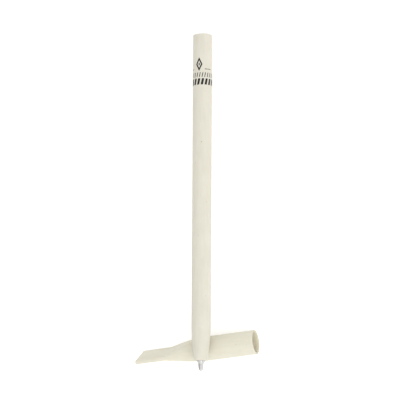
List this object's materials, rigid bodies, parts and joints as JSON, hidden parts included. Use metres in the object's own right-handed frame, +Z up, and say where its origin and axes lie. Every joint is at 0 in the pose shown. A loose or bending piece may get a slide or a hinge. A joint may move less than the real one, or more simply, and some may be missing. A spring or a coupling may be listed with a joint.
{
  "type": "ballpoint pen",
  "caption": "Slim cream ballpoint stick pen lying across its pulled-off cap, a tube with one end pressed flat.",
  "frame": {"origin": "on the table, under the middle of the pen and its cap as they lie", "axes": "+Z up, +Y along the pen towards its rear end, +X towards the cap's open mouth"},
  "size_m": [0.0518, 0.1422, 0.0183],
  "materials": {
    "carton": "satin",
    "bush_plastic": "matte",
    "plug_plastic": "matte",
    "refill_plastic": "satin",
    "ink": "gloss",
    "tip_metal": "satin",
    "ball_metal": "polished"
  },
  "bodies": {
    "cap": {"cap": "carton"},
    "pen": {"barrel": "carton", "nose_bush": "bush_plastic", "rear_plug": "plug_plastic"},
    "refill": {"refill_tube": "refill_plastic", "ink": "ink", "tip": "tip_metal"},
    "ball": {"ball": "ball_metal"}
  },
  "joints": [
    {"name": "pen_lift", "type": "slide", "parent": "cap", "child": "pen", "axis": [0, 0, 1], "range_m": [0, 0.06]},
    {"name": "refill_pull", "type": "slide", "parent": "pen", "child": "refill", "axis": [0, -0.9966, 0.0821], "range_m": [0, 0.115]},
    {"name": "ball_roll", "type": "hinge", "parent": "refill", "child": "ball", "pos_m": [0.0046, -0.07062, 0.01564], "axis": [1, 0, 0], "continuous": true}
  ]
}
